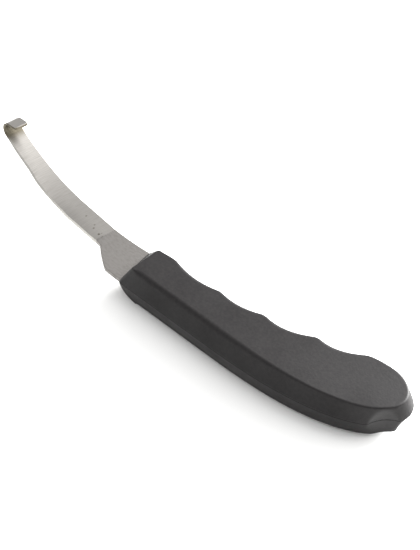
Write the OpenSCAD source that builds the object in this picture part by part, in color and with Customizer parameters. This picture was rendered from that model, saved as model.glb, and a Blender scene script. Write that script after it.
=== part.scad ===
// Hoof knife for trimming hooves: a bowed steel blade with a curled tip, its tang clamped
// between two moulded handle shells. The knife lies on the flat side of its handle.
// +X runs along the handle to the tip, +Y to the convex back of the handle, +Z up.
// The origin lies on the flat pad under the front of the grip, on the handle's centre line.

/* [Handle] */
// Half the thickness of the handle at its front
half_thick = 9; // [8:0.5:11]
// From the origin forward to the front edge of the flat faces
face_front = 30.8; // [28:0.5:33]
// From the origin back to the butt edge of the flat faces
face_butt = 84.2; // [82:0.5:88]
// From the centre line to the straight back edge of the flat faces
back_y = 6.9; // [6.5:0.1:9]
// From the centre line to the crest line of the finger grooves, at the front
belly_y = 8.2; // [7:0.1:9]
// How far the rearmost point of the butt lies towards the fingers
butt_drop = 15.5; // [13:0.5:17]
// How far the butt's bulb reaches past its rearmost point, towards the fingers
bulb_reach = 9.4; // [8:0.2:11]
// Roundness of the back's bend, as the power of a superellipse
back_power = 2.6; // [2.2:0.1:3]
// How far the parting ridge stands out past the flat faces at the sides
side_bevel = 2.5; // [1.5:0.1:3]
// How far the wedge at the front stands out past the flat faces, at the back
nose_back = 5.2; // [4:0.2:7]
// How far the wedge at the front stands out past the flat faces, at the finger side
nose_finger = 8.6; // [5:0.2:9]
// Fullness of the lower shell's wedge: 1 is straight, more is rounder
nose_fullness = 4; // [1:0.5:5]
// Extra bevel under the rearmost part of the butt
heel_bevel = 4.5; // [0:0.5:5]
// Radius of the lengthwise crown of the faces, behind the flat pad
crown_radius = 1250; // [1000:50:2500]
// Rounding of the flat faces' edges
edge_round = 1; // [0.6:0.1:1.2]

/* [Finger grooves] */
// Depths of the four grooves, from the front to the butt
groove_depth = [1.6, 1.5, 2.3, 2.2]; // [0.5:0.1:3]
// Place of the first crest along X, ahead of the grooves
crest_front = 22; // [20:0.5:24]
// Place of the last crest along X, behind the grooves
crest_rear = -61; // [-63:0.5:-58]
// Relative widths of the four grooves, which share the length between those crests
groove_share = [23.5, 20, 21, 18.5]; // [15:0.5:25]
// How far the crest line falls away by the last crest
belly_fall = 15; // [14:0.2:16]

/* [Butt notch] */
// Radius of the shallow hollow cut through the rim of the butt
notch_radius = 12; // [11:0.5:13]
// Angle by which the hollow's wall leans back at the bottom
notch_lean = 5; // [0:1:8]

/* [Blade] */
// Thickness of the steel
blade_thick = 1.8; // [1.5:0.1:2.2]
// Thickness of the steel at the curled tip
tip_thick = 1.25; // [1:0.05:1.5]
// Width of the blade where its edge starts
root_width = 9.6; // [9:0.1:11]
// Width of the blade where the curl starts
end_width = 7.6; // [6.5:0.1:8.5]
// Width of the shoulder between the handle and the blade
shoulder_width = 18; // [16:0.1:18.4]
// Width of the ground bevel along the edge
bevel_width = 0.8; // [0.5:0.1:2]
// Length of the shoulder and straight blade ahead of the handle
straight_len = 40; // [36:1:44]
// Radius of the upward bow
bow_radius = 77; // [65:1:100]
// Angle through which the bow rises
bow_angle = 34.5; // [25:0.5:40]
// Angle by which the blade turns towards the finger side
blade_turn = 6; // [0:0.5:8]

/* [Curled tip] */
// Outside radius of the curl
curl_radius = 4; // [3:0.1:5]
// Angle through which the tip is curled back
curl_angle = 135; // [110:5:150]
// Length of the flat lip after the curl
lip_len = 5.4; // [3:0.2:6]
// Width of the lip
lip_width = 6.7; // [5:0.1:7]

/* [Tang and pins] */
// Length of the tang behind the shoulder
tang_len = 71; // [60:1:76]
// Width of the tang
tang_width = 10; // [8:0.5:11]
// Diameter of the two pins through the tang
pin_d = 4; // [3:0.5:4.5]
// Length of the tang pins
pin_len = 11; // [8:0.5:12]
// Diameter of the dowel in the butt
dowel_d = 5; // [4:0.5:6]
// Length of the dowel in the butt
dowel_len = 8; // [6:0.5:9]
// Gap all round the tang and the pins in their seats
fit_gap = 0.05; // [0.03:0.01:0.1]

/* [Hidden] */
$fn = 48;

handle_grey = "#464445";
steel_grey = "#bdbcb8";
pin_grey = "#8d8c89";

mid_z = half_thick;                    // height of the parting plane
pad_back = -10;                        // where the flat pad ends and the crown begins
back_bend = -8;                        // where the straight back starts to bend
bulb_x = -72;                          // widest place of the bulb
bulb_len = face_butt + bulb_x;         // from there to the rearmost point
corner_r = 1.5;                        // plan rounding of the two front corners
crest_blend = 1.6;                     // half the length over which a crest is rounded

function lerp(a, b, t) = a + (b - a) * t;
function clamp01(t) = max(0, min(1, t));
function smooth(t) = let (u = clamp01(t)) u * u * (3 - 2 * u);
function sum(v) = v * [for (i = v) 1];
function first_sum(v, k) = k == 0 ? 0 : v[k - 1] + first_sum(v, k - 1);

// ---- outline of the flat faces, seen from above ----

// How far the front corners are rounded off at x
function corner_cut(x) =
    let (d = x - (face_front - corner_r))
    d <= 0 ? 0 : corner_r - sqrt(max(0, corner_r * corner_r - d * d));

// Back edge: straight, then a superellipse that closes at the rearmost point
function back_edge(x) =
    let (t = clamp01((back_bend - x) / (back_bend + face_butt)))
    lerp(-butt_drop, back_y, sqrt(max(0, 1 - pow(t, back_power)))) - corner_cut(x);

// Places along X of the five crests beside the grooves
crest_x = [for (k = [0:4])
    lerp(crest_front, crest_rear, first_sum(groove_share, k) / sum(groove_share))];

// Line through the crests of the finger grooves
function crest_line(x) =
    let (t = max(0, crest_x[1] - x) / (crest_x[1] - crest_x[4]))
    -belly_y - belly_fall * pow(t, 1.55);

// Grooves as shallow parabolas hung between neighbouring crests
function grooves(x) =
    let (k = x > crest_x[1] ? 0 : x > crest_x[2] ? 1 : x > crest_x[3] ? 2 : 3,
         a = crest_x[k], b = crest_x[k + 1], t = (a - x) / (a - b))
    lerp(crest_line(a), crest_line(b), t) + 4 * groove_depth[k] * t * (1 - t);

// Finger side before its crests are rounded
function raw_belly(x) =
    let (low = -butt_drop - bulb_reach, heel = (x - bulb_x) / (crest_x[4] - bulb_x))
    x > crest_x[0] ? -belly_y + 0.012 * pow(x - crest_x[0], 2)
    : x > crest_x[4] ? grooves(x)
    : lerp(low, crest_line(crest_x[4]), heel * heel);

// Finger edge: rounded crests, then a quarter ellipse round the bulb
function finger_edge(x) =
    x <= bulb_x
    ? -butt_drop - bulb_reach * sqrt(max(0, 1 - pow((bulb_x - x) / bulb_len, 2)))
    : let (w = crest_blend * clamp01((x - bulb_x) / 6))
      sum([for (k = [-2:2]) raw_belly(x + k * w / 2)]) / 5 + corner_cut(x);

// Places along X where both edges are sampled, from the front corner to the butt
stations = concat(
    [for (a = [90:-22.5:22.5]) face_front - corner_r + corner_r * sin(a)],
    [for (i = [0:80]) lerp(face_front - corner_r, bulb_x, i / 80)],
    [for (a = [7.5:7.5:90]) bulb_x - bulb_len * sin(a)]);
last = len(stations) - 1;
ring_size = 2 * last + 1;

// Plan point j of the outline: along the back to the butt, then along the finger side
function plan_point(j) =
    j <= last ? [stations[j], back_edge(stations[j])]
              : [stations[2 * last - j], finger_edge(stations[2 * last - j])];
outline = [for (j = [0:ring_size - 1]) plan_point(j)];

// Outward direction at plan point j
function outward(j) =
    let (a = outline[max(0, j - 1)], b = outline[min(ring_size - 1, j + 1)], d = b - a)
    [-d[1], d[0]] / -norm(d);

// Half the thickness of the handle at x
function half_at(x) = half_thick - pow(max(0, pad_back - x), 2) / (2 * crown_radius);

// 1 on the rearmost part of the butt and its finger side, 0 elsewhere
function heel_part(j) =
    let (n = outward(j)) smooth((0.35 - n[1]) / 0.7) * smooth((-n[0] - 0.2) / 0.5);

// Plan point j moved outwards by part k of the bevel (1 at the ridge, 0 at the face)
function bevel_point(j, k, full, heel) =
    let (p = outline[j], taper = lerp(half_at(p[0]) / half_thick, 1, heel_part(j)),
         side = side_bevel * taper * k, nose = 1 - pow(1 - k, full),
         at_front = p[0] > face_front - corner_r - 0.01)
    at_front ? p + [nose * (j <= last ? nose_back : nose_finger), j <= last ? side : -side]
             : p + outward(j) * (side - heel * heel_part(j) * (1 - k));

// Ring of points on the handle's skin, at part k of the bevel and drawn in by inset
function skin_ring(k, inset, drop, full, heel) = [for (j = [0:ring_size - 1])
    let (q = bevel_point(j, k, full, heel) - outward(j) * inset, h = half_at(outline[j][0]))
    [q[0], q[1], (h - drop) * (1 - k)]];

// Cap of a ring: strips from the back to the finger side, so that it may be scalloped
function strip_cap(base) = concat(
    [for (i = [0:last - 2]) each [[base + i, base + i + 1, base + 2 * last - i - 1],
                                  [base + i, base + 2 * last - i - 1, base + 2 * last - i]]],
    [[base + last - 1, base + last, base + last + 1]]);
function flip(faces) = [for (f = faces) [f[2], f[1], f[0]]];
function wall(base, size) = [for (j = [0:size - 1]) let (n = (j + 1) % size)
    each [[base + n, base + j, base + size + j], [base + n, base + size + j, base + size + n]]];

// ---- handle ----

// Half of the handle above the parting plane, which lies at z = 0 here. The last three rings
// round the face's edge, each given as [part of the bevel, inset, drop]
module half_blank(full, heel) {
    r = edge_round;
    steps = [[1, 0, 0], [0.7, 0, 0], [0.4, 0, 0], [0.22, 0, 0], [r / half_thick, 0, 0],
             [0, 0.3 * r, 0.3 * r], [0, r, 0]];
    rings = [for (q = steps) skin_ring(q[0], q[1], q[2], full, heel)];
    top = len(rings) - 1;
    polyhedron(points = [for (ring = rings) each ring],
               faces = concat(strip_cap(0),
                              [for (i = [0:top - 1]) each wall(i * ring_size, ring_size)],
                              flip(strip_cap(top * ring_size))));
}

// Seat for half of the tang and the shoulder, open at the mouth
module tang_seat() {
    seat = blade_thick / 2 + fit_gap;
    g = fit_gap;
    translate([tang_end - g, tang_y - tang_width / 2 - g, -1])
        cube([tang_len + g + 1, tang_width + 2 * g, seat + 1]);
    translate([shoulder_back - g, blade_y - shoulder_low - g, -1])
        cube([40, shoulder_width + 2 * g, seat + 1]);
}

// Cored pockets behind the tang's seat, with ribs left between them
module cored_pockets() {
    for (x = [6, -8]) translate([x - 5, tang_y - 3.5, -1]) cube([10, 7, 6.5]);
    for (x = [-50, -60]) translate([x - 3.5, lerp(-7, -9, (-50 - x) / 10) - 5, -1])
        cube([7, 10, 6]);
}

// One shell, with seats for the tang, the pins and the dowel, and the notch in its butt.
// full and heel shape its skin, lean tilts the notch's wall
module shell_blank(full, heel, lean) {
    difference() {
        half_blank(full, heel);
        tang_seat();
        cored_pockets();
        for (x = tang_pin_x) translate([x, tang_y, -1])
            cylinder(d = pin_d + 2 * fit_gap, h = pin_len / 2 + 1 + fit_gap);
        translate([dowel_at[0], dowel_at[1], -1])
            cylinder(d = dowel_d + 2 * fit_gap, h = dowel_len / 2 + 1 + fit_gap);
        translate([notch_at[0], notch_at[1], 0]) rotate(a = lean, v = notch_along)
            cylinder(r = notch_radius, h = 3 * half_thick, center = true, $fn = 120);
    }
}

module handle_upper_shell() {
    color(handle_grey) translate([0, 0, mid_z]) shell_blank(1, 0, notch_lean);
}

module handle_lower_shell() {
    color(handle_grey) translate([0, 0, mid_z]) mirror([0, 0, 1])
        shell_blank(nose_fullness, heel_bevel, -notch_lean);
}

// ---- blade ----

mouth_x = face_front + nose_back;      // where the blade leaves the handle
blade_y = -4;                          // line of the blade at the mouth
shoulder_low = 5.5;                    // from that line to the shoulder's finger side
shoulder_high = shoulder_width - shoulder_low;
shoulder_back = mouth_x - 5;           // where the shoulder narrows to the tang
tang_y = -0.5;                         // centre line of the tang
tang_end = shoulder_back - tang_len;
turn_start = 8;                        // where the blade starts to turn, from the mouth
turn_len = 14;
edge_start = turn_start + turn_len;    // where the sharpened edge starts
neck_start = 8.6;                      // where the shoulder starts to narrow
neck_end = 19.6;                       // where it is down to the blade's width
bow_len = bow_radius * bow_angle * PI / 180;
curl_start = straight_len + bow_len;
curl_mid = curl_radius - tip_thick / 2;
curl_len = curl_mid * curl_angle * PI / 180;
lip_start = curl_start + curl_len;

// Turn of the blade in plan, and its rise, both in degrees, at distance s from the mouth
function turn_at(s) = -blade_turn * clamp01((s - turn_start) / turn_len);
function rise_at(s) = bow_angle * clamp01((s - straight_len) / bow_len)
                    + curl_angle * clamp01((s - curl_start) / curl_len);

// Distance ahead and height reached by the blade's mid surface at s, in its own upright plane
function profile_at(s) =
    let (a = rise_at(min(s, curl_start)), b = rise_at(s),
         bow = bow_radius * [sin(a), 1 - cos(a)],
         curl = s <= curl_start ? [0, 0] : curl_mid * [sin(b) - sin(a), cos(a) - cos(b)],
         lip = max(0, s - lip_start) * [cos(b), sin(b)])
    [min(s, straight_len), 0] + bow + curl + lip;

// Mid-surface point at s: straight, then a slight turn towards the finger side
function spine_at(s) =
    let (p = profile_at(s), turn_radius = turn_len / max(0.001, blade_turn * PI / 180),
         in_turn = min(max(p[0] - turn_start, 0), turn_len), t = -turn_at(turn_start + in_turn),
         after = s <= straight_len ? max(0, p[0] - edge_start) : p[0] - edge_start)
    [mouth_x + min(p[0], turn_start) + turn_radius * sin(t) + after * cos(blade_turn),
     blade_y - turn_radius * (1 - cos(t)) - after * sin(blade_turn),
     mid_z + p[1]];

// Distances from the mid line to the two edges
function back_width(s) =
    let (root = 0.53 * root_width, tip = 0.53 * end_width,
         slant = lerp(shoulder_high, root, (s - neck_start) / (neck_end - neck_start)),
         strip = lerp(root, tip, clamp01((s - straight_len) / (curl_start - straight_len))))
    s > neck_end ? strip : soft_min(shoulder_high, slant, 0.3);
function finger_width(s) =
    let (root = 0.47 * root_width, tip = 0.48 * end_width,
         strip = lerp(root, tip, clamp01((s - straight_len) / (curl_start - straight_len))))
    s < edge_start ? lerp(shoulder_low, root, clamp01(s / edge_start))
    : s < curl_start ? strip
    : lerp(tip, lip_width - 0.53 * end_width, clamp01((s - curl_start) / curl_len));
function soft_min(a, b, r) = (a + b - sqrt((a - b) * (a - b) + 4 * r * r)) / 2;

// Cross-section at s: flat below, with the bevel ground on the upper side of the back edge
function blade_section(s) =
    let (c = spine_at(s), r = rise_at(s), t = turn_at(s),
         across = [-sin(t), cos(t), 0],
         up = [-sin(r) * cos(t), -sin(r) * sin(t), cos(r)],
         h = lerp(blade_thick, tip_thick, clamp01((s - straight_len) / bow_len)) / 2,
         ground = clamp01((s - edge_start + 1) / 2),
         bevel = lerp(0.2, bevel_width, ground), land = lerp(2 * h - 0.2, 0.3, ground),
         b = back_width(s), f = finger_width(s))
    [for (q = [[-f, -h], [b, -h], [b, land - h], [b - bevel, h], [-f, h]])
        c + across * q[0] + up * q[1]];

// Tang cross-section at x, straight along the handle
function tang_section(x, low, high) =
    [for (q = [[low, -1], [high, -1], [high, 0.8], [high - 0.2, 1], [low, 1]])
        [x, q[0], mid_z + q[1] * blade_thick / 2]];

blade_sections = concat(
    [tang_section(tang_end, tang_y - tang_width / 2, tang_y + tang_width / 2),
     tang_section(shoulder_back - 0.5, tang_y - tang_width / 2, tang_y + tang_width / 2),
     tang_section(shoulder_back, blade_y - shoulder_low, blade_y + shoulder_high)],
    [for (s = [0:1:edge_start]) blade_section(s)],
    [for (s = [edge_start + 1:3:straight_len]) blade_section(s)],
    [for (i = [1:15]) blade_section(straight_len + bow_len * i / 15)],
    [for (i = [1:14]) blade_section(curl_start + curl_len * i / 14)],
    [blade_section(lip_start + lip_len)]);

// Solid through a list of rings with five points each
module ribbon(rings) {
    n = len(rings[0]);
    end = (len(rings) - 1) * n;
    polyhedron(points = [for (ring = rings) each ring],
               faces = concat([[for (j = [0:n - 1]) j]],
                              [for (i = [0:len(rings) - 2]) each wall(i * n, n)],
                              [[for (j = [n - 1:-1:0]) end + j]]));
}

module blade() {
    color(steel_grey) difference() {
        ribbon(blade_sections);
        for (x = tang_pin_x) translate([x, tang_y, mid_z - 5])
            cylinder(d = pin_d + 2 * fit_gap, h = 10);
    }
}

// ---- pins ----

tang_pin_x = [18, -24];
dowel_at = [-71, -13];
notch_at = [-90.2, -1.7];
notch_along = [-0.62, -0.785, 0];      // runs along the rim at the notch

// Plain pin that ends blind inside both shells, centred on the parting plane
module pin(at, d, len) {
    color(pin_grey) translate([at[0], at[1], mid_z - len / 2]) cylinder(d = d, h = len);
}

module tang_pin_front() { pin([tang_pin_x[0], tang_y], pin_d, pin_len); }
module tang_pin_rear() { pin([tang_pin_x[1], tang_y], pin_d, pin_len); }
module butt_dowel() { pin(dowel_at, dowel_d, dowel_len); }

blade();
handle_upper_shell();
handle_lower_shell();
tang_pin_front();
tang_pin_rear();
butt_dowel();
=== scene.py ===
# Hoof knife: a bowed steel blade with a curled tip, its tang held between two moulded shells.
# Lengths are in millimetres until a mesh is made. +X runs to the tip, +Y to the back of the
# handle and the sharpened edge, +Z up.
import math

import bpy
import numpy as np
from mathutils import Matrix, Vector


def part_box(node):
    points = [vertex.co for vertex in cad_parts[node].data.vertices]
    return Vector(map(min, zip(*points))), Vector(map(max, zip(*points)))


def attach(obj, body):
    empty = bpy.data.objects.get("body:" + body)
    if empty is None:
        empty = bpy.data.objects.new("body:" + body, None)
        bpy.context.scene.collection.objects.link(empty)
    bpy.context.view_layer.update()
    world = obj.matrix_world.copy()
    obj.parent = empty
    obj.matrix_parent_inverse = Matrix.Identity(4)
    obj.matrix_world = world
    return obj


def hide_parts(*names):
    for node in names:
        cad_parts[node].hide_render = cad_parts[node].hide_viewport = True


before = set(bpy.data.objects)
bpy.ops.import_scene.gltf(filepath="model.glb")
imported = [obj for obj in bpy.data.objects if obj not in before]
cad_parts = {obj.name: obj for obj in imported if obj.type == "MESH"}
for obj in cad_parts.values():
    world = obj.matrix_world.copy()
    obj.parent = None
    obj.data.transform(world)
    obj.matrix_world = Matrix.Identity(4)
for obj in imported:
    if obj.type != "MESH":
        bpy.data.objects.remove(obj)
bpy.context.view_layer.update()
mm = 0.001
sharpAngle = 42     # degrees between two faces past which their edge is shaded sharp
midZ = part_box("handle_upper_shell")[0].z / mm   # height of the parting plane
pinNames = ("tang_pin_front", "tang_pin_rear", "butt_dowel")


def lerp(a, b, t):
    return a + (b - a) * t


def smooth(t):
    # 0 below 0, 1 above 1, and an even rise between
    u = np.clip(t, 0, 1)
    return u * u * (3 - 2 * u)


def softMax(a, b, r):
    # the larger of two values, with the change between them rounded over about r
    return (a + b + np.sqrt((a - b) ** 2 + 4 * r * r)) / 2


def linear(hexColour):
    value = np.array([int(hexColour[i:i + 2], 16) / 255 for i in (1, 3, 5)])
    curve = np.where(value > 0.04045, ((value + 0.055) / 1.055) ** 2.4, value / 12.92)
    return (*curve.tolist(), 1.0)


def addNode(tree, kind, settings=None, links=None):
    # settings name a socket or a property, links name a socket and what feeds it; gives the outputs
    made = tree.nodes.new("ShaderNode" + kind)
    for name, value in (settings or {}).items():
        if name in made.inputs:
            made.inputs[name].default_value = value
        else:
            setattr(made, name, value)
    for name, source in (links or {}).items():
        tree.links.new(source, made.inputs[name])
    return made.outputs


def newMaterial(name):
    material = bpy.data.materials.new(name)
    material.use_nodes = True
    tree = material.node_tree
    tree.nodes.clear()
    return material, tree


def finishMaterial(tree, settings, links=None):
    shader = addNode(tree, "BsdfPrincipled", settings, links)
    addNode(tree, "OutputMaterial", links={"Surface": shader["BSDF"]})


def quads(index):
    # the four corners of every cell of a grid of vertex numbers
    corners = index[:-1, :-1], index[:-1, 1:], index[1:, 1:], index[1:, :-1]
    return np.stack(corners, -1).reshape(-1, 4)


def makePiece(name, points, faces, material):
    # points in millimetres, faces facing outwards
    mesh = bpy.data.meshes.new(name)
    mesh.from_pydata(points * mm, [], faces)
    mesh.validate()
    mesh.shade_smooth()
    mesh.set_sharp_from_angle(angle=math.radians(sharpAngle))
    mesh.materials.append(material)
    piece = bpy.data.objects.new(name, mesh)
    bpy.context.scene.collection.objects.link(piece)
    return piece


plasticLook = {
    "base": "#141213", "worn": "#1c1a1a",
    "grain": 0.75,      # width of one pebble, drawn coarser than the real 0.2 so that it shows
    "grainDepth": 0.035, "grainStrength": 0.55,
    "patch": 14.0,      # size of the faint patches of handling shine
    "shiny": 0.46, "dull": 0.6,
    "gloss": 0.24,      # less than a smooth skin's 0.5, because the pebbles shade each other
    "IOR": 1.49,
}


def mouldedPolypropylene():
    # black polypropylene from a spark-eroded mould: a dull skin of fine round pebbles, which
    # spreads a light into a wide grey sheen, a little shinier where hands rub it
    look = plasticLook
    material, tree = newMaterial("mouldedPolypropylene")
    place = addNode(tree, "TexCoord")["Object"]
    pebbles = addNode(tree, "TexVoronoi", {"feature": "SMOOTH_F1", "Scale": 1 / (look["grain"] * mm),
                                           "Smoothness": 0.8}, {"Vector": place})
    speckle = addNode(tree, "TexNoise", {"Scale": 0.6 / (look["grain"] * mm), "Detail": 3.0,
                                         "Roughness": 0.6}, {"Vector": place})
    patches = addNode(tree, "TexNoise", {"Scale": 1 / (look["patch"] * mm), "Detail": 2.0},
                      {"Vector": place})
    tone = addNode(tree, "MapRange", {"From Min": 0.35, "From Max": 0.68}, {"Value": speckle["Fac"]})
    colour = addNode(tree, "MixRGB", {"Color1": linear(look["base"]), "Color2": linear(look["worn"])},
                     {"Fac": tone["Result"]})
    rough = addNode(tree, "MapRange", {"From Min": 0.3, "From Max": 0.7, "To Min": look["dull"],
                                       "To Max": look["shiny"]}, {"Value": patches["Fac"]})
    relief = addNode(tree, "MixRGB", {"blend_type": "ADD", "Fac": 1.0},
                     {"Color1": pebbles["Distance"], "Color2": speckle["Fac"]})
    bump = addNode(tree, "Bump", {"Strength": look["grainStrength"], "Distance": look["grainDepth"] * mm},
                   {"Height": relief["Color"]})
    finishMaterial(tree, {"IOR": look["IOR"], "Specular IOR Level": look["gloss"]},
                   {"Base Color": colour["Color"], "Roughness": rough["Result"],
                    "Normal": bump["Normal"]})
    return material


steelLook = {   # each finish: its darker and lighter colour, and its lowest and highest roughness
    "rolled": ("#7a7774", "#8a8784", 0.36, 0.48),
    "ground": ("#908d89", "#9f9c98", 0.3, 0.42),
    # painted shade: the dark brown inside the curl is partly scale and partly painted shade and dark
    # reflection
    "scaleAndShade": ("#524d42", "#656054", 0.45, 0.55),
    "pit": ("#4a463f", "#5f5a53", 0.5, 0.6),
    "honed": ("#a9a7a2", "#b8b6b1", 0.26, 0.34),
    "lineGap": 0.35,    # distance between grinding lines, drawn coarser than the real 0.1
    "lineLength": 9.0,  # how far one line runs across the blade
    "lineDepth": 0.012, "lineStrength": 0.5,
    "mottle": 0.9,      # width of the rolled skin's mottling
    "mottleLength": 2.2,
    "pitGap": 2.1,      # distance between places where a pit may be
    "pitCore": 0.12, "pitRim": 0.3,     # radius of a pit's dark middle and of its rim, in pitGaps
    "pitShare": 0.8,    # share of those places that have a pit where the belt stops
    "pitFrom": 21.0, "pitTo": 38.0,     # stretch of the blade, from the mouth, where pits are
}


def groundToolSteel():
    # satin tool steel: fine lines across the blade from the grinding belt, a darker rolled skin
    # with lengthwise mottling on the shoulder, a dark brown inside the curl that is partly scale where
    # no belt reaches and partly painted shade and dark reflection, a few dark pits where the belt
    # stops, and a bright honed line along the edge
    look = steelLook
    material, tree = newMaterial("groundToolSteel")
    place = addNode(tree, "UVMap", {"uv_map": "steel"})["UV"]
    across = addNode(tree, "Mapping", {"Scale": (1 / look["lineGap"], 1 / look["lineLength"], 1)},
                     {"Vector": place})
    along = addNode(tree, "Mapping", {"Scale": (1 / look["mottleLength"], 1 / look["mottle"], 1)},
                    {"Vector": place})
    noise = {"Scale": 1.0, "Detail": 4.0, "Roughness": 0.6}
    lines = addNode(tree, "TexNoise", noise, {"Vector": across["Vector"]})["Fac"]
    mottle = addNode(tree, "TexNoise", noise, {"Vector": along["Vector"]})["Fac"]
    spread = {"From Min": 0.35, "From Max": 0.65}
    lined = addNode(tree, "MapRange", spread, {"Value": lines})["Result"]
    mottled = addNode(tree, "MapRange", spread, {"Value": mottle})["Result"]

    # the belt stops along a wavering line: the mottling shifts the mask's half-way point
    ground = addNode(tree, "Attribute", {"attribute_name": "ground"})["Fac"]
    waver = addNode(tree, "MixRGB", {"blend_type": "ADD", "Fac": 1.0},
                    {"Color1": ground, "Color2": mottle})
    belted = addNode(tree, "MapRange", {"From Min": 0.9, "From Max": 1.1}, {"Value": waver["Color"]})
    # mask of the dark brown inside the curl: partly scale, partly painted shade and dark reflection
    scaleAndShade = addNode(tree, "Attribute", {"attribute_name": "scaleAndShade"})["Fac"]
    honed = addNode(tree, "Attribute", {"attribute_name": "honed"})["Fac"]

    # pits: the middles of a few Voronoi cells, thinning out along the blade
    cells = addNode(tree, "TexVoronoi", {"Scale": 1 / look["pitGap"]}, {"Vector": place})
    middle = addNode(tree, "MapRange", {"From Min": look["pitRim"], "From Max": look["pitCore"]},
                     {"Value": cells["Distance"]})
    chosen = addNode(tree, "SeparateColor", links={"Color": cells["Color"]})["Red"]
    distance = addNode(tree, "SeparateXYZ", links={"Vector": place})["X"]
    chance = addNode(tree, "MapRange", {"From Min": look["pitFrom"], "From Max": look["pitTo"],
                                        "To Min": look["pitShare"], "To Max": 0.0}, {"Value": distance})
    kept = addNode(tree, "MixRGB", {"blend_type": "SUBTRACT", "Fac": 1.0},
                   {"Color1": chance["Result"], "Color2": chosen})
    kept = addNode(tree, "MapRange", {"From Max": 0.05}, {"Value": kept["Color"]})
    pitted = addNode(tree, "MixRGB", {"blend_type": "MULTIPLY", "Fac": 1.0},
                     {"Color1": middle["Result"], "Color2": kept["Result"]})
    pitted = addNode(tree, "MixRGB", {"blend_type": "MULTIPLY", "Fac": 1.0},
                     {"Color1": pitted["Color"], "Color2": belted["Result"]})

    colour = rough = None
    for name, pattern, mask in (("rolled", mottled, None), ("ground", lined, belted["Result"]),
                                ("scaleAndShade", mottled, scaleAndShade), ("pit", mottled, pitted["Color"]),
                                ("honed", lined, honed)):
        dark, light, shiny, dull = look[name]
        tone = addNode(tree, "MixRGB", {"Color1": linear(dark), "Color2": linear(light)},
                       {"Fac": pattern})["Color"]
        finish = addNode(tree, "MapRange", {"To Min": dull, "To Max": shiny}, {"Value": pattern})["Result"]
        if mask is not None:
            tone = addNode(tree, "MixRGB",
                           links={"Fac": mask, "Color1": colour, "Color2": tone})["Color"]
            finish = addNode(tree, "MixRGB",
                             links={"Fac": mask, "Color1": rough, "Color2": finish})["Color"]
        colour, rough = tone, finish
    height = addNode(tree, "MixRGB", links={"Fac": belted["Result"], "Color1": mottle, "Color2": lines})
    bump = addNode(tree, "Bump", {"Strength": look["lineStrength"], "Distance": look["lineDepth"] * mm},
                   {"Height": height["Color"]})
    finishMaterial(tree, {"Metallic": 1.0}, {"Base Color": colour, "Roughness": rough,
                                             "Normal": bump["Normal"]})
    return material


pinLook = {
    "dark": "#8f8c88", "light": "#a6a39f",
    "line": 0.2,        # width of one drawing line
    "stretch": 25.0,    # how many times longer than wide a line is
    "shiny": 0.3, "dull": 0.45,
}


def drawnSteel():
    # plain drawn wire for the pins: grey, with faint lines along its length
    look = pinLook
    material, tree = newMaterial("drawnSteel")
    place = addNode(tree, "TexCoord")["Object"]
    lengthwise = addNode(tree, "Mapping", {"Scale": (1.0, 1.0, 1 / look["stretch"])}, {"Vector": place})
    lines = addNode(tree, "TexNoise", {"Scale": 1 / (look["line"] * mm), "Detail": 3.0},
                    {"Vector": lengthwise["Vector"]})
    tone = addNode(tree, "MixRGB", {"Color1": linear(look["dark"]), "Color2": linear(look["light"])},
                   {"Fac": lines["Fac"]})
    rough = addNode(tree, "MapRange", {"To Min": look["shiny"], "To Max": look["dull"]},
                    {"Value": lines["Fac"]})
    finishMaterial(tree, {"Metallic": 1.0}, {"Base Color": tone["Color"], "Roughness": rough["Result"]})
    return material


handle = {
    "halfThick": 9.0,
    "faceFront": 30.8, "faceButt": 84.2,    # from the origin to the ends of the flat faces
    "backY": 6.9, "bellyY": 8.2,            # the face's two sides at the front
    "cornerRadius": 1.1,                    # rounding of the face's front corners in plan
    "buttDrop": 15.5,    # how far the rearmost point lies to the finger side
    "bulbX": -72.0, "bulbReach": 9.4,       # where the heel is widest, and by how much
    "backBend": -8.0, "backPower": 2.6,     # where the back starts to fall, and its superellipse
    "crownStart": -10.0, "crownRadius": 1250.0,     # the arc by which the faces fall to the butt
    "crestX": (22.0, -1.5, -21.5, -42.5, -61.0),    # crests between the finger grooves
    "grooveDepth": (1.6, 1.5, 2.3, 2.2),
    "bellyFall": 15.0, "fallPower": 1.55,   # how far the line of the crests falls, and how late
    "crestBlend": 1.6,
    "flare": 0.012,      # how fast the belly spreads ahead of the first crest
    "sideBevel": 2.5,    # how much further out the parting plane's outline is than the face's
    "heelBevel": 4.5,    # the same, added on the lower shell round the heel
    "noseBack": 5.2, "noseFinger": 8.6,     # how far the nose leans forward at its two corners
    "noseFull": 4.0,     # how much sooner the lower shell's nose comes forward, as a power
    "noseSlide": 6.0,    # length over which the ridge is drawn forward to the nose
    "notchAt": (-90.2, -1.7), "notchOut": (-0.785, 0.62), "notchRadius": 12.0, "notchLean": 5.0,
    "notchSoft": 0.3,    # rounding of the hollow's rim
    "notchBowl": 1.0,    # how much shallower the hollow is at the faces than at the parting plane
    "frontRound": 1.7, "buttRound": 0.7, "valleyRound": 0.9,    # rounding of the faces' edges
    "noseRound": 0.45,
    "seamDepth": 0.16, "seamWidth": 0.14,   # the groove that two shells leave where they meet
    "ridgeSoft": 0.16, "ridgeFade": 0.9,    # rounding of the ridge along the parting plane
    "slotLow": 0.51, "slotHigh": 0.85,      # the slot's mouth, as shares of the front from its corners
    "seatOut": 60.0,     # the shoulder's seat runs out through the front, to beyond it
    "rows": 170, "columns": 140, "rings": 24,
    "frontRows": 0.06, "buttRows": 0.28,    # shares of the rows that bend to the face's two ends
}

# what is sunk in the parting faces: low and high x, low and high y, depth
pockets = ((1, 11, -4, 3, 5.5), (-13, -3, -4, 3, 5.5),
           (-53.5, -46.5, -12, -2, 5.0), (-63.5, -56.5, -14, -4, 5.0))
seatGap = 0.05
seatDraft = 0.3     # width over which a seat's wall falls, so that the mesh can follow it


def halfAt(x):
    # half thickness: flat, then a circle's arc falling to the butt
    fall = np.clip(handle["crownStart"] - x, 0, None) ** 2 / (2 * handle["crownRadius"])
    return handle["halfThick"] - fall


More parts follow.
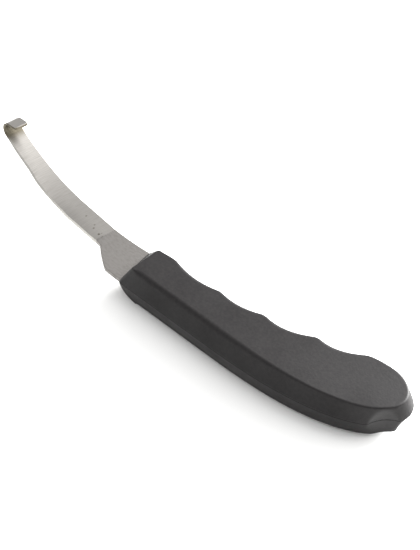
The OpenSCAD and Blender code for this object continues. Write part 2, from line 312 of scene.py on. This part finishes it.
def backEdge(x):
    # straight, then a superellipse that closes at the rearmost point
    h = handle
    t = np.clip((h["backBend"] - x) / (h["backBend"] + h["faceButt"]), 0, 1)
    return lerp(-h["buttDrop"], h["backY"], np.sqrt(np.clip(1 - t ** h["backPower"], 0, 1)))


def crestLine(x):
    # the line through the crests: level at the front, then falling by a power of the distance
    crest = handle["crestX"]
    t = np.clip(crest[1] - x, 0, None) / (crest[1] - crest[4])
    return -handle["bellyY"] - handle["bellyFall"] * t ** handle["fallPower"]


def valley(x):
    # 0 on a crest and 1 in the middle of each groove, a parabola between neighbouring crests
    crest = np.array(handle["crestX"])
    k = np.clip(np.searchsorted(-crest, -x) - 1, 0, 3)
    t = (crest[k] - x) / (crest[k] - crest[k + 1])
    return np.where((x <= crest[0]) & (x >= crest[4]), 4 * t * (1 - t), 0.0), k, t


def rawBelly(x):
    # grooves hung between the crests, a slight flare ahead of them and the heel behind
    h = handle
    crest = np.array(h["crestX"])
    depth, k, t = valley(x)
    grooves = lerp(crestLine(crest[k]), crestLine(crest[k + 1]), t) + np.array(h["grooveDepth"])[k] * depth
    heel = ((x - h["bulbX"]) / (crest[4] - h["bulbX"])) ** 2
    behind = lerp(-h["buttDrop"] - h["bulbReach"], crestLine(crest[4]), heel)
    ahead = -h["bellyY"] + h["flare"] * (x - crest[0]) ** 2
    return np.where(x > crest[0], ahead, np.where(x > crest[4], grooves, behind))


def fingerEdge(x):
    # the belly averaged over a short length, so that its crests are round
    width = handle["crestBlend"] * np.clip((x - handle["bulbX"]) / 6, 0, 1)
    return sum(rawBelly(x + k * width / 4) for k in range(-4, 5)) / 9


def faceLoop():
    # Outline of the flat face as one closed loop: back side, butt, finger side, front. Also
    # gives each point's share of the front (1 there, falling to 0 along the sides) and its place
    # across the front, from the back at 0 to the finger side at 1
    h, rows, columns = handle, handle["rows"], handle["columns"]
    r, front = h["cornerRadius"], h["faceFront"] - h["cornerRadius"]
    x = np.linspace(front, h["bulbX"], rows + 1)
    angle = np.linspace(0, np.pi, columns + 1)
    bulb = h["faceButt"] + h["bulbX"]
    buttX = h["bulbX"] - bulb * np.sin(angle)   # the back's superellipse, then a quarter ellipse
    reach = h["bulbReach"] * np.sqrt(np.clip(1 - ((h["bulbX"] - buttX) / bulb) ** 2, 0, 1))
    buttY = np.where(angle < np.pi / 2, backEdge(buttX), -h["buttDrop"] - reach)
    top, width = backEdge(front), backEdge(front) - fingerEdge(np.array([front]))[0]
    # points across the front, closer together at its corners and where the slot's mouth ends
    arc = r * (1 - np.cos(np.linspace(0, np.pi / 2, 13)))
    nearCorner = np.unique([*arc, h["slotHigh"] - 0.03, h["slotHigh"] + 0.03])
    farCorner = np.unique([*arc, h["slotLow"] - 0.03, h["slotLow"] + 0.03])
    between = np.linspace(r, width - r, columns + 3 - len(nearCorner) - len(farCorner))[1:-1]
    offset = np.concatenate([nearCorner, between, width - farCorner[::-1]])
    edge = np.minimum(offset, width - offset).clip(0, r)
    frontX = front + np.sqrt(np.clip(r * r - (r - edge) ** 2, 0, None))
    fingerX = x[::-1][:-1]
    sides = ((x[:-1], backEdge(x[:-1])), (buttX[:-1], buttY[:-1]), (fingerX, fingerEdge(fingerX)),
             (frontX[::-1][:-1], (top - offset)[::-1][:-1]))
    slide = np.clip((x - (front - h["noseSlide"])) / h["noseSlide"], 0, 1)
    atFront = np.concatenate([slide[:-1], np.zeros(columns), slide[::-1][:-1], np.ones(columns)])
    place = np.concatenate([np.zeros(rows + columns // 2), np.ones(rows + columns - columns // 2),
                            (offset / width)[::-1][:-1]])
    return np.concatenate([np.stack(side, 1) for side in sides]), atFront, place


def seatDepth(x, y):
    # depth of the seats, sockets and cored pockets in a shell's parting face, as the deepest of
    # boxes and round sockets whose walls have a little draft
    b = blade
    tang = (b["tangEnd"], b["mouthX"], b["tangY"] - b["tangWidth"] / 2, b["tangY"] + b["tangWidth"] / 2)
    shoulder = (b["shoulderBack"], handle["seatOut"], b["line"] - b["shoulderLow"],
                b["line"] - b["shoulderLow"] + b["shoulderWidth"])
    seats = [(x0 - seatGap, x1, y0 - seatGap, y1 + seatGap, b["thick"] / 2 + seatGap)
             for x0, x1, y0, y1 in (tang, shoulder)]
    found = []
    for x0, x1, y0, y1, depth in (*seats, *pockets):
        inside = np.minimum(np.minimum(x - x0, x1 - x), np.minimum(y - y0, y1 - y))
        found.append(depth * np.clip(inside / seatDraft + 1, 0, 1))
    for name in pinNames:
        low, high = (np.array(corner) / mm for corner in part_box(name))
        centre, radius, reach = (low + high) / 2, (high - low)[0] / 2 + seatGap, (high - low)[2] / 2
        inside = radius - np.hypot(x - centre[0], y - centre[1])
        found.append((reach + seatGap) * np.clip(inside / seatDraft + 1, 0, 1))
    return np.max(found, axis=0)


def carveNotch(points, height, seam):
    # moves each point that lies inside a leaning round hollow straight out to its wall. The hollow's
    # radius falls with the square of the height, and is a little larger at the seam
    h = handle
    drift = np.array(h["notchOut"]) * math.tan(math.radians(h["notchLean"]))
    axis = np.array(h["notchAt"]) + height[..., None] * drift
    away = points - axis
    distance = np.linalg.norm(away, axis=-1)
    radius = h["notchRadius"] + seam - h["notchBowl"] * (height / h["halfThick"]) ** 2
    wall = softMax(distance, radius, h["notchSoft"])
    near = smooth((h["notchRadius"] + 4 - distance) / 3)
    return axis + away * (lerp(distance, wall, near) / distance)[..., None]


def fillPatch(loop, index):
    # grid inside a loop: straight rows from the back to the finger side, bent towards the front
    # edge over the first rows and towards the butt over the last ones
    rows, columns = index.shape[0] - 1, index.shape[1] - 1
    v = (np.arange(columns + 1) / columns)[None, :, None]
    edge = loop[index % len(loop)]
    front, butt = edge[0][None], edge[-1][None]
    share = np.linalg.norm(front - front[:, :1], axis=-1)[..., None]
    vFront = share / share[:, -1:]
    along = np.arange(rows + 1)[:, None, None] / rows
    w0 = 1 - smooth(along / handle["frontRows"])
    w1 = smooth((along - 1 + handle["buttRows"]) / handle["buttRows"])
    vHere = lerp(v, vFront, w0)
    grid = lerp(edge[:, :1], edge[:, -1:], vHere)
    grid = grid + w0 * (front - lerp(front[:, :1], front[:, -1:], vFront))
    return grid + w1 * (butt - lerp(butt[:, :1], butt[:, -1:], v))


def shellSkirt(side):
    # Rings round one shell, from the parting plane up the bevel and over the face's rounded edge.
    # side is 1 for the upper shell and -1 for the lower, which has the fuller nose and the heel
    h = handle
    loop, atFront, place = faceLoop()
    count = len(loop)
    tangent = np.roll(loop, -1, 0) - np.roll(loop, 1, 0)
    tangent /= np.linalg.norm(tangent, axis=1)[:, None]
    normal = np.stack([tangent[:, 1], -tangent[:, 0]], 1)
    full = 1.0 if side > 0 else h["noseFull"]
    heel = 0.0 if side > 0 else h["heelBevel"]
    # the heel is where the outline faces the butt and not the back
    heelPart = smooth((0.35 - normal[:, 1]) / 0.7) * smooth((-normal[:, 0] - 0.2) / 0.5)
    straight = np.stack([np.zeros(count), np.clip(1.25 - 2.5 * place, -1, 1)], 1)
    out = lerp(normal, straight, atFront[:, None])
    reach = lerp(h["noseBack"], h["noseFinger"], place) * atFront
    forward = np.stack([np.ones(count), np.zeros(count)], 1)
    inward = np.where((atFront > 0.999)[:, None], forward, normal)
    half = halfAt(loop[:, 0])
    taper = lerp(half / h["halfThick"], 1, heelPart)

    def bevel(k):   # the outline at share k of the way from the face down to the parting plane
        moved = loop + out * (h["sideBevel"] * taper * k - heel * heelPart * (1 - k))[:, None]
        return moved + forward * ((1 - (1 - k) ** full) * reach)[:, None]

    base = bevel(np.ones(count))
    slot = np.where(atFront > 0.999, seatDepth(base[:, 0] - 1, base[:, 1]), 0.0)
    radius = lerp(h["buttRound"], h["frontRound"], smooth((loop[:, 0] - h["crestX"][4]) / 50))
    radius = lerp(radius, h["buttRound"] + h["valleyRound"] * valley(loop[:, 0])[0], place > 0.5)
    radius = lerp(radius, h["noseRound"], smooth(atFront * 2 - 1))
    # shares of the height at which the rings lie, close together at the seam
    climb = np.concatenate([[0, 0.006, 0.014, 0.024, 0.036, 0.055],
                            np.linspace(0.09, 1, h["rings"] - 5)])
    plan, height = [], []
    for f in climb:
        z = lerp(slot, half - radius, f)
        seam = h["seamDepth"] * np.exp(-(z / h["seamWidth"]) ** 2)
        soft = h["ridgeSoft"] * np.exp(-z / h["ridgeFade"])
        plan.append(carveNotch(bevel(1 - z / half) - inward * (seam + soft)[:, None], side * z, seam))
        height.append(z)
    low, corner = plan[-1], carveNotch(bevel(np.zeros(count)), side * half, np.zeros(count))
    flat = corner - inward * radius[:, None]
    for t in np.linspace(0, 1, 9)[1:]:      # quadratic curve from the bevel over to the face
        w0, w1, w2 = (1 - t) ** 2, 2 * t * (1 - t), t * t
        plan.append(low * w0 + corner * w1 + flat * w2)
        height.append((half - radius) * w0 + halfAt(corner[:, 0]) * w1 + halfAt(flat[:, 0]) * w2)
    return np.concatenate([np.stack(plan), np.stack(height)[..., None]], -1)


def shellSurface(side):
    # a shell is its skirt, closed by the face at one end and the parting face at the other
    h = handle
    rows, columns = h["rows"], h["columns"]
    skirt = shellSkirt(side)
    ringCount, count = skirt.shape[:2]
    number = np.zeros((rows + 1, columns + 1), int)   # where the loop runs round the patch
    i, j = np.arange(rows + 1), np.arange(columns + 1)
    number[:, 0], number[rows, :] = i, rows + j
    number[:, columns] = 2 * rows + columns - i
    number[0, :] = (2 * rows + 2 * columns - j) % count
    inside = np.zeros_like(number, bool)
    inside[1:-1, 1:-1] = True
    faceHeight = np.full(number.shape, side * h["halfThick"])
    face = carveNotch(fillPatch(skirt[-1, :, :2], number), faceHeight, 0.0)
    parting = fillPatch(skirt[0, :, :2], number)
    depth = seatDepth(parting[..., 0], parting[..., 1])[..., None]
    facePoints = np.concatenate([face, halfAt(face[..., :1])], -1)[inside]
    partingPoints = np.concatenate([parting, depth], -1)[inside]
    points = np.concatenate([skirt.reshape(-1, 3), facePoints, partingPoints])
    wall = np.arange(ringCount * count).reshape(ringCount, count)
    wall = np.concatenate([wall, wall[:, :1]], 1)
    faceIndex, partingIndex = number + (ringCount - 1) * count, number.copy()
    faceIndex[inside] = ringCount * count + np.arange(inside.sum())
    partingIndex[inside] = ringCount * count + inside.sum() + np.arange(inside.sum())
    faces = np.concatenate([quads(wall), quads(faceIndex.T), quads(partingIndex)])
    points[:, 2] = midZ + side * points[:, 2]
    return points, faces if side > 0 else faces[:, ::-1]


blade = {
    "thick": 1.8, "tipThick": 1.25,
    "tangEnd": -40.0, "tangY": -0.5, "tangWidth": 10.0,
    "mouthX": 36.0, "line": -4.0,       # where the blade leaves the handle, and its line there
    "shoulderWidth": 18.0, "shoulderLow": 5.5, "shoulderBack": 31.0,
    "neckStart": 8.6, "neckEnd": 19.6,  # where the shoulder starts and ends its narrowing
    "turnStart": 8.0, "turnLength": 14.0, "turn": 6.0,      # a bend of 6 degrees in plan
    "rootWidth": 9.6, "endWidth": 7.6,
    "backShare": 0.53, "rootShare": 0.47, "tipShare": 0.48,     # of the width, either side of the line
    "straight": 40.0, "bowRadius": 77.0, "bowAngle": 34.5,
    "curlRadius": 4.0, "curlAngle": 135.0,      # the radius is the outside one
    "lipLength": 5.4, "lipWidth": 6.7, "lipCorner": 0.6,
    "bevel": 0.5, "land": 0.35,         # the honed bevel's width and the flat left under it
    "broken": 0.2,       # the same for an edge that is only broken, on the shoulder and tang
    "edgeThin": 0.38,    # how much thinner the strip is at its sharpened edge
    "nickAt": 18.4, "nickDepth": 0.5, "nickWidth": 0.45,
    "strokes": ((0.14, 24, 6), (-0.5, 62, 9), (0.22, 74, 8)),   # step, where it starts, its length
    "ripple": (0.05, 2.9),      # height of the edge's waviness, and its wavelength over two pi
    "hollow": 0.07,      # how much the ground face lies below the rolled skin
    "corner": 0.14,      # rounding of the strip's long edges
}
blade["edgeStart"] = blade["turnStart"] + blade["turnLength"]
blade["curlMid"] = blade["curlRadius"] - blade["tipThick"] / 2
blade["curlStart"] = blade["straight"] + blade["bowRadius"] * math.radians(blade["bowAngle"])
blade["lipStart"] = blade["curlStart"] + blade["curlMid"] * math.radians(blade["curlAngle"])
blade["end"] = blade["lipStart"] + blade["lipLength"]


def bladePath(s):
    # mid line: straight, turned slightly in plan, then an arc upwards and the tight curl. Gives
    # the point, the rise and the turn at distance s from the mouth
    b = blade
    bow, curl, full = (math.radians(b[name]) for name in ("bowAngle", "curlAngle", "turn"))
    first = bow * np.clip((s - b["straight"]) / (b["curlStart"] - b["straight"]), 0, 1)
    rise = first + curl * np.clip((s - b["curlStart"]) / (b["lipStart"] - b["curlStart"]), 0, 1)
    lip = np.clip(s - b["lipStart"], 0, None)
    ahead = (np.minimum(s, b["straight"]) + b["bowRadius"] * np.sin(first)
             + b["curlMid"] * (np.sin(rise) - np.sin(first)) + lip * np.cos(rise))
    up = (b["bowRadius"] * (1 - np.cos(first)) + b["curlMid"] * (np.cos(first) - np.cos(rise))
          + lip * np.sin(rise))
    turned = full * np.clip((ahead - b["turnStart"]) / b["turnLength"], 0, 1)
    radius = b["turnLength"] / full
    after = np.where(s <= b["straight"], np.clip(ahead - b["edgeStart"], 0, None), ahead - b["edgeStart"])
    x = b["mouthX"] + np.minimum(ahead, b["turnStart"]) + radius * np.sin(turned) + after * math.cos(full)
    y = b["line"] - radius * (1 - np.cos(turned)) - after * math.sin(full)
    return np.stack([x, y, midZ + up], -1), rise, -turned


def strokes(s):
    # the honed edge isn't quite even: the strokes of the stone meet in slight steps, each an even
    # rise, and a small sine runs along them
    height, length = blade["ripple"]
    steps = sum(step * smooth((s - start) / over) for step, start, over in blade["strokes"])
    return steps + height * np.sin(s / length)


def bladeWidths(s):
    # distances from the mid line to the sharpened back edge and to the finger edge: straight
    # tapers joined at the neck, with the nick and the rounded end of the lip taken off
    b = blade
    strip = np.clip((s - b["straight"]) / (b["curlStart"] - b["straight"]), 0, 1)
    high = b["shoulderWidth"] - b["shoulderLow"]
    root, tip = b["backShare"] * b["rootWidth"], b["backShare"] * b["endWidth"]
    slant = lerp(high, root, (s - b["neckStart"]) / (b["neckEnd"] - b["neckStart"]))
    shoulder = -softMax(-high * np.ones_like(s), -slant, 0.3)
    back = np.where(s > b["neckEnd"], lerp(root, tip, strip), shoulder)
    worn = smooth((s - b["edgeStart"]) / 3) * (1 - smooth((s - b["curlStart"] + 2) / 3))
    back = back + strokes(s) * worn
    back = back - b["nickDepth"] * np.exp(-((s - b["nickAt"]) / b["nickWidth"]) ** 2)
    front = b["rootShare"] * b["rootWidth"]
    finger = np.where(s < b["edgeStart"],
                      lerp(b["shoulderLow"], front, np.clip(s / b["edgeStart"], 0, 1)),
                      lerp(front, b["tipShare"] * b["endWidth"], strip))
    curled = np.clip((s - b["curlStart"]) / (b["lipStart"] - b["curlStart"]), 0, 1)
    finger = lerp(finger, b["lipWidth"] - tip, curled)
    into = np.clip(b["lipCorner"] - (b["end"] - s), 0, None)
    cut = b["lipCorner"] - np.sqrt(np.clip(b["lipCorner"] ** 2 - into ** 2, 0, None))
    return back - cut, finger - cut


def roundedRing(corner, radius, sides):
    # Closed outline through the given corners, each replaced by a short quadratic curve that
    # starts radius away from it, with sides[k] steps along the straight after corner k
    before, after = np.roll(corner, 1, 1), np.roll(corner, -1, 1)

    def towards(other):
        gap = other - corner
        length = np.linalg.norm(gap, axis=-1, keepdims=True)
        return corner + gap / length * np.minimum(radius, 0.4 * length)

    start, end = towards(before), towards(after)
    ring = []
    for k in range(corner.shape[1]):
        for t in (0, 1 / 3, 2 / 3):
            ring.append(start[:, k] * (1 - t) ** 2 + corner[:, k] * 2 * t * (1 - t) + end[:, k] * t * t)
        following = start[:, (k + 1) % corner.shape[1]]
        ring += [lerp(end[:, k], following, t) for t in np.arange(sides[k]) / sides[k]]
    return np.stack(ring, 1)


def bladeSurface():
    # the strip's cross-section carried along its path, with the tang behind the mouth, and each
    # end closed to a point in the middle of its section
    b = blade
    # rows lie closer together at the neck, in the curl and at the lip's rounded end
    behind = np.array([b["tangEnd"], b["tangEnd"] + 0.3, -20, 0, 15, b["shoulderBack"] - 0.3,
                       b["shoulderBack"], 34.0]) - b["mouthX"]
    s = np.concatenate([behind, np.arange(0, 18, 0.5), np.arange(18, 23, 0.15),
                        np.arange(23, b["curlStart"], 0.5), np.linspace(b["curlStart"], b["lipStart"], 49),
                        np.linspace(b["lipStart"] + 0.3, b["end"] - b["lipCorner"], 12),
                        b["end"] - b["lipCorner"] * (1 - np.sin(np.linspace(0, np.pi / 2, 10)))])
    s = np.unique(s.round(5))
    middle, rise, turn = bladePath(np.clip(s, 0, None))
    middle[:, 0] += np.clip(s, None, 0)
    back, finger = bladeWidths(np.clip(s, 0, None))
    tang = s < b["shoulderBack"] - b["mouthX"] - 0.01
    back = np.where(tang, b["tangY"] + b["tangWidth"] / 2 - b["line"], back)
    finger = np.where(tang, b["line"] - b["tangY"] + b["tangWidth"] / 2, finger)
    thinning = np.clip((s - b["straight"]) / (b["curlStart"] - b["straight"]), 0, 1)
    half = lerp(b["thick"], b["tipThick"], thinning) / 2
    ground = smooth((s - b["edgeStart"] + 1.5) / 3)
    edge = smooth((s - b["edgeStart"] + 1) / 2)
    bevel = lerp(b["broken"], b["bevel"], edge)
    land = lerp(2 * half - b["broken"], b["land"], edge)
    top = half - b["hollow"] * ground * (s < b["curlStart"])
    corner = np.stack([np.stack([-finger, -half], -1), np.stack([back, -half], -1),
                       np.stack([back, land - half], -1), np.stack([back - bevel, top], -1),
                       np.stack([-finger, top], -1)], 1)
    ring = roundedRing(corner, b["corner"] * np.ones((1, 5, 1)), (20, 2, 4, 20, 3))
    q, r = ring[..., 0], ring[..., 1]
    upper = r > -0.7 * half[:, None]        # everything but the underside
    thin = 1 - b["edgeThin"] * edge[:, None] * np.clip(q / back[:, None], 0, 1) ** 2
    height = (r + half[:, None]) * thin - half[:, None]
    across = np.stack([-np.sin(turn), np.cos(turn), np.zeros_like(s)], -1)
    up = np.stack([-np.sin(rise) * np.cos(turn), -np.sin(rise) * np.sin(turn), np.cos(rise)], -1)
    grid = middle[:, None] + across[:, None] * q[..., None] + up[:, None] * height[..., None]
    rows, count = grid.shape[:2]
    index = np.arange(rows * count).reshape(rows, count)
    index = np.concatenate([index, index[:, :1]], 1)
    first, last = rows * count, rows * count + 1        # the points that close the two ends
    caps = np.concatenate([np.stack([index[0, :-1], index[0, 1:], np.full(count, first)], 1),
                           np.stack([index[-1, 1:], index[-1, :-1], np.full(count, last)], 1)])
    points = np.concatenate([grid.reshape(-1, 3), grid[[0, -1]].mean(1)])
    faces = quads(index).tolist() + caps.tolist()

    def stored(values):     # a value for each point of the grid, and for the two that close it
        flat = np.broadcast_to(values, q.shape).ravel()
        return np.concatenate([flat, flat[[0, -1]]]).astype(np.float32)

    # inside the curl the steel is painted dark brown: partly scale, partly painted shade and dark
    # reflection
    inCurl = smooth((s - b["curlStart"] + 5) / 5)
    side = q > (back - bevel)[:, None]      # the bevel and the flat under it
    onBevel = side * upper * (edge * (1 - inCurl))[:, None]
    looks = {"ground": stored(ground[:, None]), "scaleAndShade": stored(inCurl[:, None] * (upper | side)),
             "honed": stored(onBevel)}
    return points, faces, np.stack([stored(s[:, None]), stored(q)], 1), looks


def storeLooks(piece, uv, looks):
    # the distances along and across the blade become a UV map, and each mask an attribute
    mesh = piece.data
    corners = np.zeros(len(mesh.loops), int)
    mesh.loops.foreach_get("vertex_index", corners)
    mesh.uv_layers.new(name="steel").data.foreach_set("uv", uv[corners].ravel())
    for name, values in looks.items():
        mesh.attributes.new(name, "FLOAT", "POINT").data.foreach_set("value", values)


stage = {
    "floor": "#efefee", "floorRough": 0.9, "reach": 3.0,
    "world": "#ffffff", "worldStrength": 0.95,
    "aim": (-1.57, -2.65, 29.92),
    "azimuth": 225.0, "elevation": 44.0, "distance": 600.0, "lens": 108.0, "nearest": 0.01,
}
lamps = {   # where each softbox stands and its size, in metres, and its power in watts
    "sideBox": {"at": (-0.35, -0.40, 0.50), "size": 0.6, "power": 2.1},
    "overBox": {"at": (0.0, 0.0, 0.9), "size": 0.8, "power": 2.4},
    "frontBox": {"at": (0.55, -0.75, 0.95), "size": 0.8, "power": 0.6},
    "backBox": {"at": (-0.16, -0.75, 0.23), "size": 0.4, "power": 42.0},
}


def addStage():
    mesh = bpy.data.meshes.new("floor")
    r = stage["reach"]
    mesh.from_pydata([(-r, -r, 0), (r, -r, 0), (r, r, 0), (-r, r, 0)], [], [(0, 1, 2, 3)])
    floor = bpy.data.objects.new("floor", mesh)
    bpy.context.scene.collection.objects.link(floor)
    material, tree = newMaterial("paperBackdrop")
    finishMaterial(tree, {"Base Color": linear(stage["floor"]), "Roughness": stage["floorRough"]})
    mesh.materials.append(material)
    world = bpy.data.worlds.new("studio")
    world.use_nodes = True
    sky = world.node_tree.nodes["Background"]
    sky.inputs["Color"].default_value = linear(stage["world"])
    sky.inputs["Strength"].default_value = stage["worldStrength"]
    bpy.context.scene.world = world
    bpy.context.scene.view_settings.view_transform = "Standard"


def aimAt(thing, target):
    direction = Vector(target) - thing.location
    thing.rotation_euler = direction.to_track_quat("-Z", "Y").to_euler()


def addLights():
    for name, lamp in lamps.items():
        light = bpy.data.lights.new(name, "AREA")
        light.shape, light.size, light.energy = "SQUARE", lamp["size"], lamp["power"]
        thing = bpy.data.objects.new(name, light)
        thing.location = lamp["at"]
        bpy.context.scene.collection.objects.link(thing)
        aimAt(thing, np.array(stage["aim"]) * mm)


def addCamera():
    azimuth, elevation = math.radians(stage["azimuth"]), math.radians(stage["elevation"])
    towards = np.array([math.sin(azimuth) * math.cos(elevation), -math.cos(azimuth) * math.cos(elevation),
                        math.sin(elevation)])
    target = np.array(stage["aim"])
    camera = bpy.data.objects.new("camera", bpy.data.cameras.new("camera"))
    camera.data.lens, camera.data.clip_start = stage["lens"], stage["nearest"]
    camera.location = (target + towards * stage["distance"]) * mm
    bpy.context.scene.collection.objects.link(camera)
    aimAt(camera, target * mm)
    bpy.context.scene.camera = camera


addStage()
addLights()
addCamera()
print("stage, lights and camera")

plastic = mouldedPolypropylene()
for shell, side in (("handle_upper_shell", 1), ("handle_lower_shell", -1)):
    points, faces = shellSurface(side)
    piece = makePiece(shell + "_skin", points, faces, plastic)
    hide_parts(shell)
    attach(piece, "root")
    print(shell, len(points), "points", len(faces), "faces")

points, faces, uv, looks = bladeSurface()
strip = makePiece("blade_strip", points, faces, groundToolSteel())
storeLooks(strip, uv, looks)
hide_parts("blade")
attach(strip, "root")
print("blade", len(points), "points", len(faces), "faces")

pinSteel = drawnSteel()
for name in pinNames:
    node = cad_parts[name]
    node.data.materials.clear()
    node.data.materials.append(pinSteel)
print("pins")
